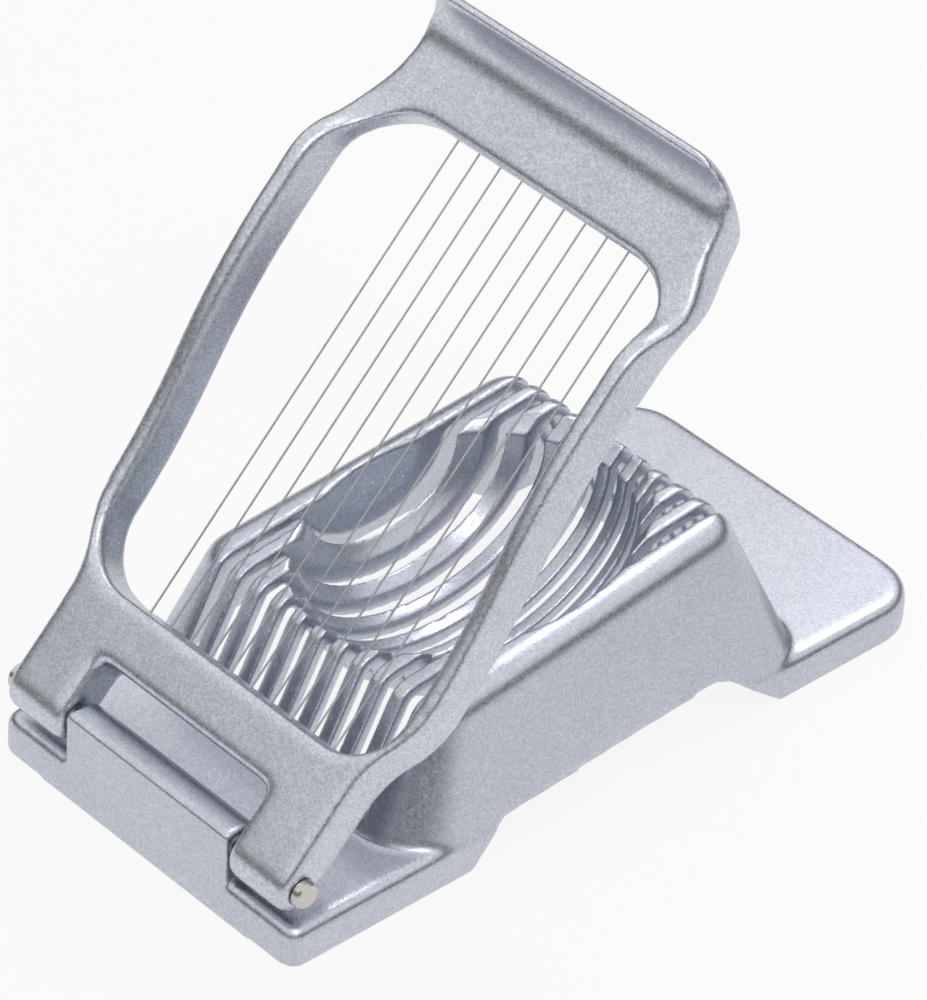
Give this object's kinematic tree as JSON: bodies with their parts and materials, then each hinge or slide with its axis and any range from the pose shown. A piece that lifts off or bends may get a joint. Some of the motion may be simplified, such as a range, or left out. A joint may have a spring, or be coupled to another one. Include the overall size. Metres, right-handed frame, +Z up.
{
  "type": "egg slicer",
  "caption": "Cast egg slicer: a ribbed egg cradle on a flat base and a hinged frame strung with parallel cutting wires that drop between the ribs.",
  "frame": {"origin": "on the surface that the base stands on, under the middle of the base", "axes": "+Z up, X along the hinge line, +Y from the hinge end to the thumb end of the base"},
  "size_m": [0.082, 0.1491, 0.1208],
  "materials": {
    "cast_base": "satin die cast",
    "cast_frame": "satin die cast",
    "pin_steel": "bright",
    "wire_steel": "drawn wire",
    "ferrule_steel": "plain"
  },
  "bodies": {
    "base": {"base_casting": "cast_base", "hinge_pin_left": "pin_steel", "hinge_pin_right": "pin_steel"},
    "frame": {"cutting_frame": "cast_frame", "cutting_wire_01": "wire_steel", "cutting_wire_02": "wire_steel", "cutting_wire_03": "wire_steel", "cutting_wire_04": "wire_steel", "cutting_wire_05": "wire_steel", "cutting_wire_06": "wire_steel", "cutting_wire_07": "wire_steel", "cutting_wire_08": "wire_steel", "cutting_wire_09": "wire_steel", "cutting_wire_10": "wire_steel", "hinge_end_ferrules": "ferrule_steel", "handle_end_ferrules": "ferrule_steel"}
  },
  "joints": [
    {"name": "frame_hinge", "type": "hinge", "parent": "base", "child": "frame", "pos_m": [0, -0.07055, 0.01434], "axis": [1, 0, 0], "range_deg": [-46, 64]}
  ]
}
